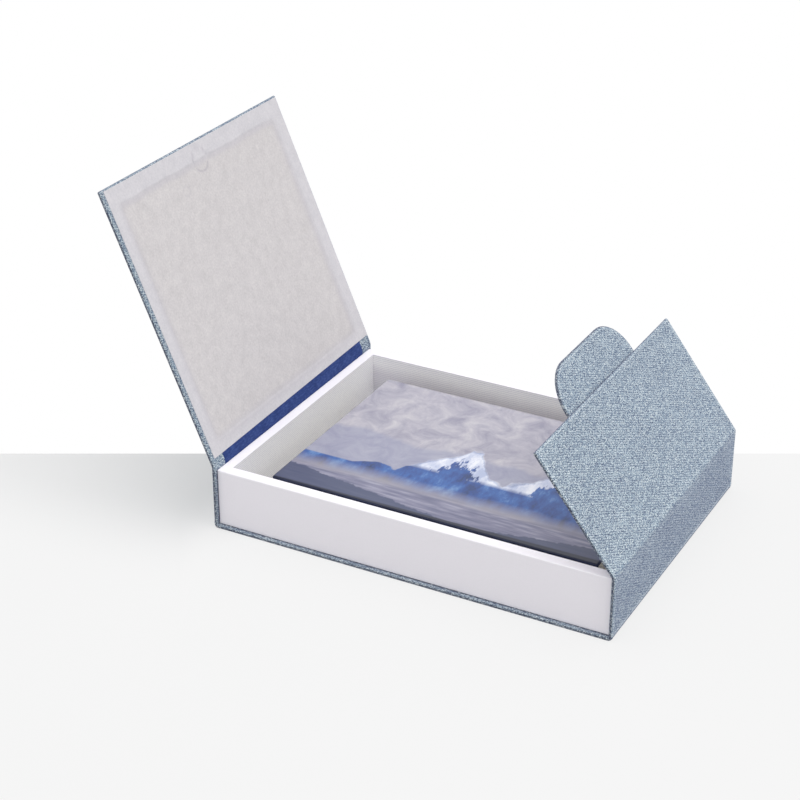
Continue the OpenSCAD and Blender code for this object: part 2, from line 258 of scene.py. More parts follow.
def rounded(s, y, n, s_end, half, thick):
    """Moves a point of a sharp-edged board onto one whose edges are round."""
    side, depth = max(EDGE_R - half, min(half - EDGE_R, y)), max(EDGE_R - thick, min(-EDGE_R, n))
    core = Vector((min(s, s_end - EDGE_R), side, depth))
    off = Vector((s, y, n)) - core
    return core + off.normalized() * EDGE_R if off.length > 1e-9 else core


def bell(distance, width):
    """1 at no distance, and falling away over a width."""
    return math.exp(-(distance / width) ** 2)


def running(points):
    """Length along a line of points, up to each one."""
    return list(np.cumsum([0.0] + [math.dist(a, b) for a, b in zip(points, points[1:])]))


def plain_mesh(piece):
    """Applies the modifiers, so that the piece is a plain mesh with its sharp edges marked."""
    mesh = bpy.data.meshes.new_from_object(piece.evaluated_get(bpy.context.evaluated_depsgraph_get()))
    piece.modifiers.clear()
    piece.data = mesh
    mesh.shade_smooth()
    mesh.set_sharp_from_angle(angle=math.radians(50))
    return piece


def thicken(piece, thickness):
    """Gives a sheet its thickness, on the side away from its normals."""
    solid = piece.modifiers.new("thickness", "SOLIDIFY")
    solid.thickness = thickness
    solid.offset = -1
    solid.use_even_offset = True
    return plain_mesh(piece)


def shown(name, points, faces, uv, marks, facing):
    """Mesh object with a UV map and a point attribute, its doubles merged, turned to face a direction."""
    mesh = bpy.data.meshes.new(name)
    mesh.from_pydata([tuple(p) for p in points], [], faces)
    layer = mesh.uv_layers.new(name="surface")
    for loop in mesh.loops:
        layer.data[loop.index].uv = uv[loop.vertex_index]
    mesh.attributes.new("mark", "FLOAT", "POINT").data.foreach_set("value", marks)
    net = bmesh.new()
    net.from_mesh(mesh)
    bmesh.ops.remove_doubles(net, verts=net.verts, dist=2e-6)
    bmesh.ops.delete(net, geom=[v for v in net.verts if not v.link_faces], context="VERTS")
    net.normal_update()
    if sum((f.normal * f.calc_area() for f in net.faces), Vector()).dot(facing) < 0:
        bmesh.ops.reverse_faces(net, faces=net.faces)
    net.to_mesh(mesh)
    net.free()
    piece = bpy.data.objects.new(name, mesh)
    bpy.context.scene.collection.objects.link(piece)
    return piece


def between(a, b):
    """Part of the cloth that a cell between two lines belongs to."""
    return a[2] if a[2] == b[2] else "side"


def wrapped_cloth(name, rows, columns, spot, run, facing, s_end=math.inf, creases=(), folds=(),
                  tray_shadow_in=None):
    """Cloth over a board. rows are (s, depth, part) along it and columns (y, depth, part) across it, spot
    turns (s, depth) into (x, z), and run is how far along the whole cloth its first row lies and which way
    it goes. Its mark tells apart welts and creases, which get a painted highlight; turned-in cloth; painted
    shade on the cloth over an edge and round a fold; and in the case the ledge at the tray's foot and,
    farther from the edge than a given distance, the painted shadow of the tray. A leaf ends at s_end."""
    free_edge = s_end < math.inf
    half = max(c[0] for c in columns)
    steps_y = running([rounded(0, y, n, s_end, half, LEAF)[1:] for y, n, _ in columns])
    steps_s = running([(s, n) for s, n, _ in rows])
    points, uv, marks = [], [], []
    for (s, depth_s, _), run_s in zip(rows, steps_s):
        for (y, depth_y, _), run_y in zip(columns, steps_y):
            n = min(depth_s, depth_y)
            edge = min(half - abs(y), s_end - s + WELT_IN - WELT_FREE) if free_edge else half - abs(y)
            # Welts and creases are raised, and the same value marks them for a painted highlight.
            lines = [bell(edge - WELT_IN, WELT_WIDE)] + [k * bell(s - c, CREASE_WIDE) for c, k in creases]
            welt = WELT * max(lines) * (n == 0)
            s2, y2, n2 = rounded(s, y, n, s_end, half, LEAF)
            x, z = spot(s2, n2 + WELT_HIGH * welt)
            points.append((x, y2, max(z, 0.0)))
            uv.append((run[0] + run[1] * run_s, run_y - steps_y[-1] / 2))
            # Painted shade: cloth round a fold on the table, over a board's edge, or in the tray's shadow is
            # marked to be painted darker and greyer.
            in_fold = n == 0 and any(a < s < b for a, b in folds)
            on_edge = SIDE_FROM < -n < LEAF - SIDE_FROM
            in_tray_shadow = n < 0 and tray_shadow_in is not None and edge >= tray_shadow_in
            shaded = in_fold or on_edge or in_tray_shadow
            marks.append(PAINTED_SHADE if shaded else welt if n == 0 else TURNED_IN if tray_shadow_in is None else LEDGE)
    faces = []
    across = len(columns)
    for i in range(len(rows) - 1):
        for j in range(across - 1):
            down, over = between(rows[i], rows[i + 1]), between(columns[j], columns[j + 1])
            hidden = free_edge and over == "hem" and rows[i][0] > s_end - HEM_FREE - 1e-6
            if not hidden and (down == "face" or over == "face"):
                k = i * across + j
                faces.append((k, k + across, k + across + 1, k + 1))
    return thicken(shown(name, points, faces, uv, marks, facing), CLOTH)


# The case's outer line runs from the top of the lid's spine down, under the base, and up the flap's spine.
fold_run = FOLD_R * math.pi / 2
spine_run = RIM_Z - FOLD_R
case_run = 2 * (spine_run + fold_run + SPINE_X - FOLD_R)


def case_spot(s, n):
    """(x, z) of a point on the case's outer line at distance s from the top of the lid's spine."""
    side, s = (-1, s) if s <= case_run / 2 else (1, case_run - s)
    if s <= spine_run:
        return side * (SPINE_X + n), RIM_Z - s
    if s <= spine_run + fold_run:
        turn = (s - spine_run) / FOLD_R
        x, z = SPINE_X - FOLD_R + (FOLD_R + n) * math.cos(turn), FOLD_R - (FOLD_R + n) * math.sin(turn)
        return side * x, z
    return side * (SPINE_X - FOLD_R - (s - spine_run - fold_run)), -n


def woven_bookcloth(name, stops, fleck):
    """Bookcloth of mixed yarns: no gloss, a slight sheen, and a twill line of short light and dark flecks.
    Its mark paints shade on it, darker and greyer, and paints a highlight on welts and creases, lighter. The
    yarns are drawn 0.9 mm apart, coarser than the 0.5 mm of real ones, so that they show."""
    yarn, wale, lean = 0.9 * MM, 2.0 * MM, (0.894, 0.449)
    material, tree, shader = start_finish(name, 0.82, 0.25)
    place = add(tree, "ShaderNodeUVMap", uv_map="surface").outputs["UV"]
    along, across = add(tree, XYZ, (place,)).outputs[:2]
    wander = add(tree, NOISE, {"Vector": place, "Scale": scale_for(9.0), "Detail": 1.0})
    leaning = weighted(tree, (wander, 1.6 * MM), (across, lean[1]), (along, lean[0]))
    twill = add(tree, MATH, (wave(tree, leaning, wale), 0.5, 0.5), operation="MULTIPLY_ADD")
    cells = add(tree, "ShaderNodeTexVoronoi", {"Vector": place, "Scale": 1 / yarn, "Randomness": 0.7})
    lone = add(tree, "ShaderNodeSeparateColor", (cells.outputs["Color"],)).outputs
    fine = add(tree, NOISE, {"Vector": place, "Scale": scale_for(0.68), "Detail": 0.0})
    speckle = weighted(tree, (fine, 0.78), (lone[0], 0.22))
    mark = add(tree, "ShaderNodeAttribute", attribute_name="mark").outputs["Fac"]
    shade = weighted(tree, (speckle, 0.92), (twill, 0.08), (mark, 0.085))
    colour = add(tree, RAMP, (shade,), stops)
    bright = add(tree, MATH, (lone[1], 0.9), operation="GREATER_THAN")
    bright = add(tree, MATH, (bright, 0.5), operation="MULTIPLY")
    colour = add(tree, MIX, (bright, colour, linear(fleck)), data_type="RGBA")
    patches = add(tree, NOISE, {"Vector": place, "Scale": scale_for(45.0), "Detail": 3.0})
    patches = add(tree, RAMP, (patches,), [(0.3, "#F3F3F5"), (0.7, "#FFFFFF")])
    colour = add(tree, MIX, (1.0, colour, patches), data_type="RGBA", blend_type="MULTIPLY")
    # Painted shade is painted greyer as well as darker; the case's ledge is greyed a little too.
    greying = add(tree, MATH, (mark, -1.7, -0.17), operation="MULTIPLY_ADD", use_clamp=True)
    greyed = add(tree, "ShaderNodeHueSaturation", {"Saturation": 0.7, "Fac": greying, "Color": colour})
    height = add(tree, MATH, (twill, 0.3, fine), operation="MULTIPLY_ADD")
    bump = add(tree, BUMP, {"Height": height, "Distance": 0.25 * MM, "Strength": 0.5})
    feed(tree, shader, {
        "Base Color": greyed, "Normal": bump,
        "Sheen Weight": 0.25, "Sheen Roughness": 0.5, "Sheen Tint": linear("#A8A6F2"),
    })
    return material


cover_finish = woven_bookcloth(
    "blue_grey_bookcloth",
    [(0.3, "#262E4A"), (0.41, "#5B6A83"), (0.5, "#869AA8"), (0.59, "#AEBEC7"), (0.7, "#E6EEEF")],
    "#E2ECEA",
)
CASE_COLUMNS = section(2 * HALF_W, LEAF, HEM_SIDE)
FOLD_WELT = 1.6 * MM
# Mark values for the creases on the spines: raised lines with a painted highlight, strongest at the foot.
CREASE_MARK, FOOT_MARK = 0.35, 1.3
# The case's turned-in cloth farther in from its edge than this gets the painted shadow of the tray.
TRAY_SHADOW_IN = 2.6 * MM
near_fold = [x * MM for x in (0.3, 0.7, 1.0, 1.4, 1.8, 2.2, 3.2)]
top = [0.0] + near_fold
foot = [spine_run - x for x in reversed(near_fold)]
fold = [spine_run + fold_run * i / 6 for i in range(7)]
ledge = [fold[-1] + x for x in near_fold]
half_lines = top + spread(top[-1], foot[0], COARSE) + foot + fold + ledge
case_lines = half_lines + spread(ledge[-1], case_run - ledge[-1], COARSE)
case_lines += [case_run - s for s in half_lines[::-1]]
half_creases = [(FOLD_WELT, CREASE_MARK), (spine_run - FOLD_WELT, FOOT_MARK)]
case_cloth = wrapped_cloth(
    "case_cloth", [(s, 0.0, "face") for s in case_lines], CASE_COLUMNS, case_spot, (-case_run / 2, 1),
    Vector((0, 0, -1)), creases=half_creases + [(case_run - s, k) for s, k in half_creases],
    folds=[(spine_run, spine_run + fold_run), (case_run - spine_run - fold_run, case_run - spine_run)],
    tray_shadow_in=TRAY_SHADOW_IN,
)
paint(case_cloth, cover_finish)
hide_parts("base_cloth", "lid_spine_cloth", "flap_spine_cloth")
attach(case_cloth, "root")


# Hinges
# Outside, the bare cover cloth between a spine and its leaf; inside, a royal blue cloth strip pasted from
# behind the tray over the gap onto the leaf. In the real box both bend each time it is opened; here each is
# built in one fixed shape, bent as the box stands open.

AXIS_IN = CLOTH / 2
STRIP_HALF = HALF_W - HEM_SIDE
STRIP_REACH = 15.47 * MM
STRIP_BELOW = 40 * MM
STRIP_FACE = 2.77 * MM
STRIP_THICK = 0.37 * MM
BEND_STEP = 1.2 * MM


def hinge(name):
    """Pivot and open angle of a hinge as it stands in the frame."""
    joint = next(j for j in frame["joints"] if j["name"] == name)
    return Vector(joint["pos_m"]), math.radians(-joint["range_deg"][0])


def leaf_frame(pivot, angle, side):
    """Ways along and out of a leaf, and a function from (distance from its hinge, depth) to (x, z)."""
    along = Vector((-side * math.cos(angle), math.sin(angle)))
    out = Vector((side * math.sin(angle), math.cos(angle)))
    hub = Vector((pivot.x, pivot.z)) + out * AXIS_IN
    return along, out, lambda s, n: hub + along * s + out * n


def bent_line(side, pivot, spot, below, reach, depth, bend):
    """Points that run up a spine and on along a leaf at a depth in from the outside, with their normals."""
    stand = side * (SPINE_X - depth)
    first, high = Vector((stand, RIM_Z - below)), Vector((stand, pivot.z - bend))
    low, end = spot(bend, -depth), spot(reach, -depth)
    way = end - low
    knee = Vector((stand, low.y + way.y * (stand - low.x) / way.x))
    points = [first] + [first.lerp(high, t) for t in spread(0, 1, BEND_STEP / (high - first).length)]
    points += [high * (1 - t) ** 2 + knee * (2 * t * (1 - t)) + low * t ** 2 for t in np.linspace(0, 1, 9)]
    if way.length > 1e-6:
        points += [low.lerp(end, t) for t in spread(0, 1, BEND_STEP / way.length)] + [end]
    ahead, behind = points[1:] + points[-1:], points[:1] + points[:-1]
    ways = [(b - a).normalized() for a, b in zip(behind, ahead)]
    return points, [Vector((side * w.y, -side * w.x)) for w in ways]


def grid_cells(rows, columns):
    """Faces between neighbouring points of a grid, row by row."""
    return [
        (k, k + columns, k + columns + 1, k + 1)
        for row in range(rows - 1) for k in range(row * columns, (row + 1) * columns - 1)
    ]


# Closely woven cotton strip: even royal blue with fine darker and lighter streaks along its length.
blue_cloth, tree, shader = start_finish("royal_blue_strip_cloth", 0.8, 0.25)
place = add(tree, "ShaderNodeUVMap", uv_map="surface").outputs["UV"]
drawn = add(tree, "ShaderNodeMapping", {"Vector": place, "Scale": (1.0, 0.3, 1.0)})
cloud = add(tree, NOISE, {"Vector": place, "Scale": scale_for(12.0)})
fibre = add(tree, NOISE, {"Vector": drawn, "Scale": scale_for(1.3)})
streak = weighted(tree, (cloud, 0.4), (fibre, 0.6))
yarns = add(tree, NOISE, {"Vector": drawn, "Scale": scale_for(0.9)})
bump = add(tree, BUMP, {"Height": yarns, "Distance": 0.15 * MM, "Strength": 0.4})
blue = add(tree, RAMP, (streak,), [(0.3, "#22356B"), (0.5, "#2F4480"), (0.7, "#445A94")])
feed(tree, shader, {"Base Color": blue, "Normal": bump})

leaves = {}
for leaf, side, gap, bend in (("lid", -1, 3 * MM, 2.2 * MM), ("flap", 1, 1.5 * MM, 1.3 * MM)):
    pivot, angle = hinge(leaf + "_hinge")
    along, out, spot = leaf_frame(pivot, angle, side)
    line, normals = bent_line(side, pivot, spot, 0.0, gap, 0.0, bend)
    lengths = running(line)

    def bent_spot(s, n):
        i = int(np.searchsorted(lengths, s - 1e-7))
        return line[i] + normals[i] * n

    facing = Vector((out.x + side, 0, out.y))
    cloth = wrapped_cloth(
        leaf + "_hinge_bend", [(s, 0.0, "face") for s in lengths], CASE_COLUMNS, bent_spot,
        (side * case_run / 2, side), facing,
    )
    paint(cloth, cover_finish)
    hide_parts(leaf + "_hinge_cloth")
    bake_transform(cloth)

    points, _ = bent_line(side, pivot, spot, STRIP_BELOW, STRIP_REACH, STRIP_FACE, bend)
    steps = running(points)
    ys = [-STRIP_HALF] + spread(-STRIP_HALF, STRIP_HALF, COARSE) + [STRIP_HALF]
    grid = [(p.x, y, p.y) for p in points for y in ys]
    uv = [(s, y) for s in steps for y in ys]
    cells = grid_cells(len(points), len(ys))
    strip = shown(leaf + "_hinge_inner_strip", grid, cells, uv, [0.0] * len(grid), -facing)
    strip = thicken(strip, STRIP_THICK)
    paint(strip, blue_cloth)
    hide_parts(leaf + "_hinge_strip")
    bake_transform(strip)
    leaves[leaf] = (spot, gap, side * (case_run / 2 + lengths[-1]), side, Vector((out.x, 0, out.y)))


# Lid and flap
# The same cloth over the lid's board and the flap's, turned in over both sides and the free edge. A
# pressed welt runs round all three, and a crease marks where each board ends at its hinge.

CLOSED_GAP = 0.6 * MM
LEAF_LENGTH = {"lid": 241.4 * MM}
LEAF_LENGTH["flap"] = 2 * hinge("flap_hinge")[0].x - LEAF_LENGTH["lid"] - CLOSED_GAP


def leaf_rows(gap, length):
    """Lines along a leaf from its hinge end over its free edge to the end of the turned-in cloth."""
    start = [gap] + [gap + x for x in near_fold]
    turned = [e for e in EDGE_LINES if e < HEM_FREE] + [HEM_FREE]
    side = [e for e in EDGE_LINES if e <= EDGE_R]
    depths = (side + [LEAF - e for e in reversed(side)])[1:-1]
    face = start + spread(start[-1], length - HEM_FREE, COARSE) + [length - e for e in reversed(turned)]
    rows = [(s, 0.0, "face") for s in face] + [(length, -d, "side") for d in depths]
    return rows + [(length - e, -LEAF, "hem") for e in turned]


for leaf, (spot, gap, run, side, out) in leaves.items():
    length = LEAF_LENGTH[leaf]
    # The crease at each hinge is raised and gets a painted highlight.
    cloth = wrapped_cloth(
        leaf + "_cover", leaf_rows(gap, length), CASE_COLUMNS, spot, (run, side), out, length,
        creases=[(gap + FOLD_WELT, CREASE_MARK)],
    )
    paint(cloth, cover_finish)
    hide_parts(leaf + "_cloth")
    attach(cloth, leaf)


# Linings
# Lilac-white lining paper, pasted inside lid and flap over the turned-in cloth and the hinge strip. It
# drops onto the board inside them, so their edges show through, and so does the magnet in the lid; painted
# shade lies along these edges and round the magnet.

LINING = 0.3 * MM
STEP = 3.2 * MM
WINDOW_Y = HALF_W - HEM_SIDE
MAGNET_R = 10 * MM
MAGNET_IN_LID = (224.5 * MM, 0.0)
DIMPLE_IN_LID = (206.7 * MM, -31.4 * MM)


def soft_step(value, width):
    """Rises smoothly from 0 to 1 over a width."""
    t = max(0.0, min(1.0, value / width))
    return t * t * (3 - 2 * t)


def grid_lines(low, high, close, step):
    """Grid lines between two ends: even ones, with close ones over each (place, span, gap)."""
    lines = {low, high}
    for place, span, gap in close:
        count = round(span / gap)
        lines.update(place + span * i / count for i in range(count + 1))
    fixed = sorted(v for v in lines if low <= v <= high)
    return [v for a, b in zip(fixed, fixed[1:]) for v in [a] + spread(a, b, step)] + [high]


def lining_face(s, y, length, marked):
    """Depth of a lining's face from the leaf's outer face, and its mark: 1 where it lies on the board and 0
    where it lies on the turned-in cloth, and past either in rings of painted shade round the magnet and the
    dimple."""
    uneven = 0.8 * MM * math.sin(y * 150) * math.sin(y * 61 + 1)
    inside = soft_step(length - HEM_FREE - s + uneven, STEP) * soft_step(WINDOW_Y - abs(y), STEP)
    inside *= soft_step(s - STRIP_REACH, STEP)
    depth = LEAF + LINING - CLOTH * inside
    mark = soft_step(length - HEM_FREE - s + uneven, 8 * MM) * soft_step(WINDOW_Y + 2 * MM - abs(y), 7 * MM)
    mark *= soft_step(s - STRIP_REACH + 2 * MM, 8 * MM)
    if marked:
        # Painted shade: the mark is changed in rings round the magnet and the dimple, so that they get the
        # step's darker colour.
        away = math.dist((s, y), MAGNET_IN_LID) - MAGNET_R
        depth += (0.05 * soft_step(-away, MM) - 0.12 * bell(away, 0.9 * MM)) * MM * (0.4 + 0.6 * inside)
        mark += 0.4 * (2 * mark - 1) * bell(away, 1.1 * MM)
        away = math.dist((s, y), DIMPLE_IN_LID)
        depth += 0.15 * MM * bell(away, 3 * MM)
        mark += 0.2 * bell(away - 4.2 * MM, 0.9 * MM)
    cockle = math.sin(s * 61 + 3 * math.sin(y * 23)) * math.sin(y * 47 + 2 * math.sin(s * 31))
    return depth - 0.05 * MM * cockle * inside, mark


def lining_paper(name):
    """Lining paper, matt and finely mottled by the paste beneath it: lilac over the turned-in cloth, warmer
    over the board, and painted shade where it steps from one to the other."""
    material, tree, shader = start_finish(name, 0.75, 0.3)
    place = add(tree, COORDINATES).outputs["Object"]
    cloud = add(tree, NOISE, {"Vector": place, "Scale": scale_for(9.0), "Detail": 3.0, "Roughness": 0.6})
    grain = add(tree, NOISE, {"Vector": place, "Scale": scale_for(1.7), "Roughness": 0.6})
    both = weighted(tree, (cloud, 0.4), (grain, 0.6))
    on_cloth = add(tree, RAMP, (both,), [(0.32, "#CCCACF"), (0.68, "#DCD9DD")])
    on_board = add(tree, RAMP, (both,), [(0.32, "#C8C4C5"), (0.5, "#D2CECF"), (0.68, "#DCD8D8")])
    mark = add(tree, "ShaderNodeAttribute", attribute_name="mark").outputs["Fac"]
    colour = add(tree, MIX, (mark, on_cloth, on_board), data_type="RGBA")
    # Painted shade along the step from cloth to board, strongest where the mark is halfway.
    step = add(tree, MATH, (1.0, mark), operation="SUBTRACT")
    step = add(tree, MATH, (mark, step), operation="MULTIPLY")
    step = add(tree, MATH, (step,), operation="ABSOLUTE")
    colour = add(tree, MIX, (step, colour, linear("#B2ADB6")), data_type="RGBA")
    bump = add(tree, BUMP, {"Height": both, "Distance": 0.3 * MM, "Strength": 0.25})
    feed(tree, shader, {"Base Color": colour, "Normal": bump})
    return material


lining_finish = lining_paper("lilac_white_lining_paper")
for leaf, front, rear, starts, marked in (
    ("lid", 4.5 * MM, 1.5 * MM, (5.5 * MM, 8.5 * MM), True),
    ("flap", 3 * MM, 3 * MM, (7 * MM, 7 * MM), False),
):
    spot, _, _, _, out = leaves[leaf]
    length = LEAF_LENGTH[leaf]
    low_y, high_y = front - HALF_W, HALF_W - rear
    close_y = [(-WINDOW_Y, STEP, 0.4 * MM), (WINDOW_Y - STEP, STEP, 0.4 * MM)]
    close_s = [(STRIP_REACH, STEP, 0.4 * MM), (length - HEM_FREE - STEP, STEP, 0.4 * MM)]
    if marked:
        # Closer lines over the magnet and the dimple.
        close_y += [(-12 * MM, 24 * MM, 0.8 * MM), (-37 * MM, 11 * MM, MM)]
        close_s += [(201 * MM, 24 * MM, 0.8 * MM)]
    ys = grid_lines(low_y, high_y, close_y, 4 * MM)
    ss = grid_lines(starts[0], length - 1.5 * MM, close_s, 4 * MM)
    points, uv, marks = [], [], []
    for s in ss:
        for y in ys:
            slant = (starts[1] - starts[0]) * (y - low_y) / (high_y - low_y)
            s2 = s + slant * max(0.0, 1 - (s - starts[0]) / (8 * MM))
            depth, mark = lining_face(s2, y, length, marked)
            x, z = spot(s2, -depth)
            points.append((x, y, z))
            uv.append((s2, y))
            marks.append(mark)
    lining = shown(leaf + "_pasted_lining", points, grid_cells(len(ss), len(ys)), uv, marks, -out)
    lining = thicken(lining, LINING)
    paint(lining, lining_finish)
    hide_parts(leaf + "_lining")
    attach(lining, leaf)


# Tab
# Thinner board with large round corners, covered in the same cloth, which is turned in all round, and
# lined inside. It is glued under the flap, holds a magnet and goes under the lid when the box is closed.

TAB_W, TAB_REACH, TAB_LAP, TAB_R = 130 * MM, 35 * MM, 40 * MM, 33 * MM
TAB_NEAR = LEAF + LINING
TAB_THICK = 2.4 * MM
TAB_HEM = 10 * MM


def corner_line(low, high, radii, inset, turns=12):
    """Closed line round a rectangle whose four corners have their own radii, drawn in by an inset."""
    line = []
    centres = [(low[0], low[1]), (high[0], low[1]), (high[0], high[1]), (low[0], high[1])]
    for quarter, ((x, y), r) in enumerate(zip(centres, radii)):
        hub_x = x + (r if x == low[0] else -r)
        hub_y = y + (r if y == low[1] else -r)
        for i in range(turns + 1):
            turn = math.pi * (1 + quarter / 2 + i / (2 * turns))
            line.append((hub_x + (r - inset) * math.cos(turn), hub_y + (r - inset) * math.sin(turn)))
    return line


def inset_line(low, high, radii, turns=12):
    """Function that draws such a line in by any inset, past a small radius too."""
    def line(inset):
        kept = [max(r, inset + 0.05 * MM) for r in radii]
        return corner_line(low, high, kept, inset, turns)
    return line


def shell(name, outline, profile, place_at, facing, fills, marks=None):
    """Surface whose rings follow an outline at each (inset, depth) of a profile, closed at the ends that
    fills names."""
    steps = running(profile)
    points, uv, mark = [], [], []
    for k, (inset, depth) in enumerate(profile):
        ring = outline(inset)
        points += [place_at(a, b, depth) for a, b in ring]
        uv += outline(profile[0][0] - steps[k])
        mark += [marks[k] if marks else 0.0] * len(ring)
    count = len(ring)
    faces = []
    for k in range(len(profile) - 1):
        for i in range(count):
            j = (i + 1) % count
            faces.append((k * count + i, k * count + j, (k + 1) * count + j, (k + 1) * count + i))
    if "start" in fills:
        faces.append(tuple(range(count - 1, -1, -1)))
    if "end" in fills:
        faces.append(tuple(range((len(profile) - 1) * count, len(profile) * count)))
    return shown(name, points, faces, uv, mark, facing)


flap_spot, _, _, _, flap_out = leaves["flap"]
tab_line = inset_line(
    (LEAF_LENGTH["flap"] - TAB_LAP, -TAB_W / 2), (LEAF_LENGTH["flap"] + TAB_REACH, TAB_W / 2),
    (MM, TAB_R, TAB_R, MM),
)


def tab_place(s, y, depth):
    """Point at a distance along the flap, across it and in from its outer face."""
    x, z = flap_spot(s, -depth)
    return x, y, z


quarter_turn = np.linspace(0, math.pi / 2, 6)
round_in = [(EDGE_R * (1 - math.sin(a)), EDGE_R * (1 - math.cos(a))) for a in quarter_turn]
face_insets = [x * MM for x in (9, 6, 4.2, 3.6, 3.3, 3.0, 2.7, 2.4, 2.1, 1.7)]
tab_welt = [WELT * bell(x - WELT_IN, WELT_WIDE) for x in face_insets]
tab_profile = [(x, TAB_NEAR - WELT_HIGH * w) for x, w in zip(face_insets, tab_welt)]
tab_profile += [(inset, TAB_NEAR + depth) for inset, depth in round_in]
tab_profile += [(inset, TAB_NEAR + TAB_THICK - depth) for inset, depth in reversed(round_in[:-1])]
tab_profile += [(x * MM, TAB_NEAR + TAB_THICK) for x in (2, 4, 7)] + [(TAB_HEM, TAB_NEAR + TAB_THICK)]
# The tab's rounded edge is marked for painted shade, and its welt for a painted highlight.
tab_marks = tab_welt + [0.0] + [PAINTED_SHADE] * 9 + [0.0] + [TURNED_IN] * 4
tab_cloth = thicken(
    shell("tab_cover", tab_line, tab_profile, tab_place, flap_out, ("start",), tab_marks), CLOTH
)
paint(tab_cloth, cover_finish)
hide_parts("tab_cloth")
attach(tab_cloth, "flap")

lined = TAB_NEAR + TAB_THICK + LINING
tab_inner = [(x * MM, lined) for x in (2.5, 3, 5, 8)] + [(TAB_HEM, lined)]
tab_inner += [(TAB_HEM + x * MM, lined - CLOTH * soft_step(x, 1.1)) for x in (0.2, 0.4, 0.6, 0.8, 1.1)]
tab_inner += [(13 * MM, lined - CLOTH)]
tab_lining = thicken(
    shell("tab_pasted_lining", tab_line, tab_inner, tab_place, -flap_out, ("end",)), LINING
)
paint(tab_lining, lining_finish)
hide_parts("tab_lining")
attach(tab_lining, "flap")


# Album
# A landscape photo album bound along its front side in near-black navy leatherette, with thick ivory
# leaves. A laminated picture covers its front board; here it is a made-up winter landscape.

def grained_leatherette(name):
    """Coated bookbinding cloth with a pebbled leather grain: dark, with a soft gloss on its edges."""
    material, tree, shader = start_finish(name, 0.42, 0.5)
    place = add(tree, COORDINATES).outputs["Object"]
    cloud = add(tree, NOISE, {"Vector": place, "Scale": scale_for(18.0), "Detail": 3.0})
    pebble = add(tree, "ShaderNodeTexVoronoi", {"Vector": place, "Scale": scale_for(1.1)})
    both = weighted(tree, (cloud, 0.6), (pebble, 0.4))
    colour = add(tree, RAMP, (both,), [(0.2, "#161C33"), (0.5, "#1D2644"), (0.8, "#263154")])
    bump = add(tree, BUMP, {"Height": pebble, "Distance": 0.12 * MM, "Strength": 0.5})
    feed(tree, shader, {"Base Color": colour, "Normal": bump})
    return material


def solid_board(name, node, radii, profile, material):
    """Closed board in a CAD node's place, with a profile of (inset, depth) round its edge."""
    low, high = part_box(node)
    board = shell(
        name, inset_line((low.x, low.y), (high.x, high.y), radii, 6), profile,
        lambda x, y, depth: (x, y, high.z - depth), Vector((0, 0, 1)), ("start", "end"),
    )
    net = bmesh.new()
    net.from_mesh(board.data)
    bmesh.ops.recalc_face_normals(net, faces=net.faces)
    net.to_mesh(board.data)
    net.free()
    plain_mesh(board)
    paint(board, material)
    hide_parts(node)
    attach(board, "album")


leatherette = grained_leatherette("navy_leatherette")
for name, node, edge, radii in (
    ("album_front_board", "album_front_cover", 0.5 * MM, (MM, MM, 2 * MM, 2 * MM)),
    ("album_back_board", "album_back_cover", 0.5 * MM, (MM, MM, 2 * MM, 2 * MM)),
    ("album_spine_board", "album_spine", 0.7 * MM, (1.2 * MM, 1.2 * MM, 0.8 * MM, 0.8 * MM)),
):
    low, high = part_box(node)
    curve = [(edge * (1 - math.sin(a)), edge * (1 - math.cos(a))) for a in quarter_turn]
    profile = [(edge * 1.5, 0.0)] + curve + [(i, high.z - low.z - d) for i, d in reversed(curve)]
    solid_board(name, node, radii, profile + [(edge * 1.5, high.z - low.z)], leatherette)

# Thick matt card, with the fine lines that cut edges show and a slight yellowing.
pages, tree, shader = start_finish("ivory_album_card", 0.8, 0.3)
place = add(tree, COORDINATES).outputs["Object"]
cut_lines = add(tree, "ShaderNodeMapping", {"Vector": place, "Scale": (0.15, 0.15, 6.0)})
lines = add(tree, NOISE, {"Vector": cut_lines, "Scale": scale_for(2.0), "Detail": 3.0})
card = add(tree, RAMP, (lines,), [(0.3, "#DDD8CA"), (0.7, "#EFEBDF")])
fine_lines = add(tree, NOISE, {"Vector": cut_lines, "Scale": scale_for(1.0)})
bump = add(tree, BUMP, {"Height": fine_lines, "Distance": 0.05 * MM, "Strength": 0.3})
feed(tree, shader, {"Base Color": card, "Normal": bump})


COMBINE, MAPPING = "ShaderNodeCombineXYZ", "ShaderNodeMapping"


